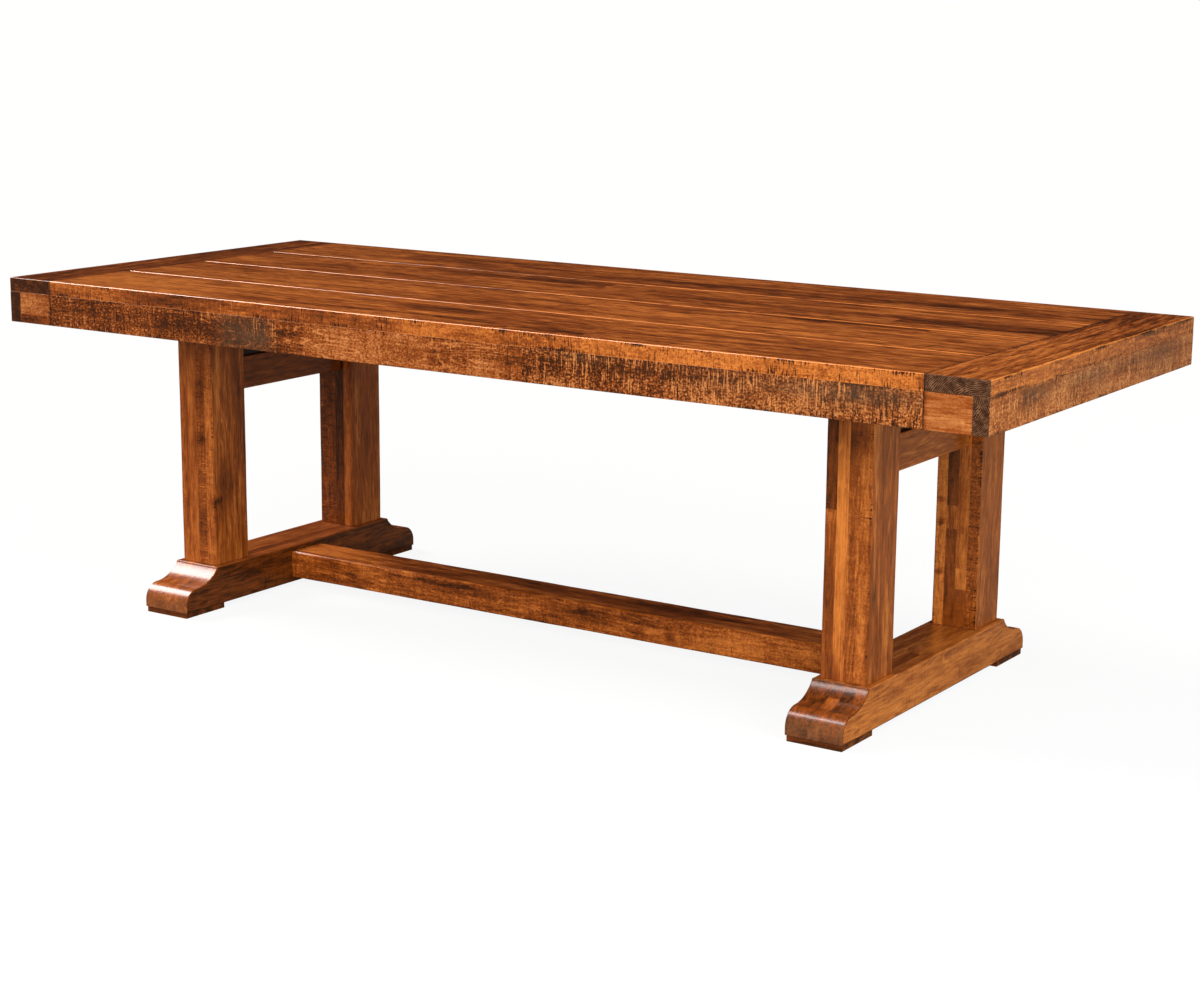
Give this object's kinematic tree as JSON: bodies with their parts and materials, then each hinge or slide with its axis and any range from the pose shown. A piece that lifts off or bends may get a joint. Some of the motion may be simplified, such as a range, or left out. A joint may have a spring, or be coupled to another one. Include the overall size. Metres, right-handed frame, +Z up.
{
  "type": "farmhouse trestle table",
  "caption": "Fixed-top farmhouse dining table: plank top with breadboard ends and a deep built-up edge, on two trestle pedestals with ogee feet tied by a low stretcher",
  "frame": {"origin": "on the floor under the middle of the top", "axes": "+X along the table, +Y from the front long side to the back, +Z up"},
  "size_m": [2.4384, 1.016, 0.762],
  "materials": {
    "top_wood": "red-brown stained hardwood planks under satin lacquer",
    "edge_wood": "red-brown stained hardwood with rough-sawn marks, satin lacquer",
    "base_wood": "red-brown stained hardwood, satin lacquer",
    "dark_wood": "dark stained hardwood",
    "hidden_wood": "plain hardwood under the top, thin coat of stain",
    "fastener_steel": "zinc plated",
    "insert_brass": "plain brass"
  },
  "bodies": {
    "root": {"back_left_corner_return": "edge_wood", "back_right_corner_return": "edge_wood", "back_skirt": "edge_wood", "batten_screws": "fastener_steel", "breadboard_pegs": "hidden_wood", "centre_batten": "hidden_wood", "cleat_bolts": "fastener_steel", "cleat_washers": "fastener_steel", "corner_blocks": "hidden_wood", "end_glue_blocks": "hidden_wood", "front_left_corner_return": "edge_wood", "front_right_corner_return": "edge_wood", "front_skirt": "edge_wood", "left_back_pad": "dark_wood", "left_back_post": "base_wood", "left_breadboard": "top_wood", "left_cleat": "hidden_wood", "left_end_skirt": "edge_wood", "left_foot": "base_wood", "left_front_pad": "dark_wood", "left_front_post": "base_wood", "left_rail": "base_wood", "left_web_panel": "dark_wood", "pad_screws": "fastener_steel", "plank_splines": "hidden_wood", "right_back_pad": "dark_wood", "right_back_post": "base_wood", "right_breadboard": "top_wood", "right_cleat": "hidden_wood", "right_end_skirt": "edge_wood", "right_foot": "base_wood", "right_front_pad": "dark_wood", "right_front_post": "base_wood", "right_rail": "base_wood", "right_web_panel": "dark_wood", "skirt_glue_blocks": "hidden_wood", "stretcher": "base_wood", "stretcher_bolts": "fastener_steel", "stretcher_nuts": "fastener_steel", "stretcher_washers": "fastener_steel", "threaded_inserts": "insert_brass", "top_plank_1": "top_wood", "top_plank_2": "top_wood", "top_plank_3": "top_wood", "top_plank_4": "top_wood"}
  },
  "joints": []
}
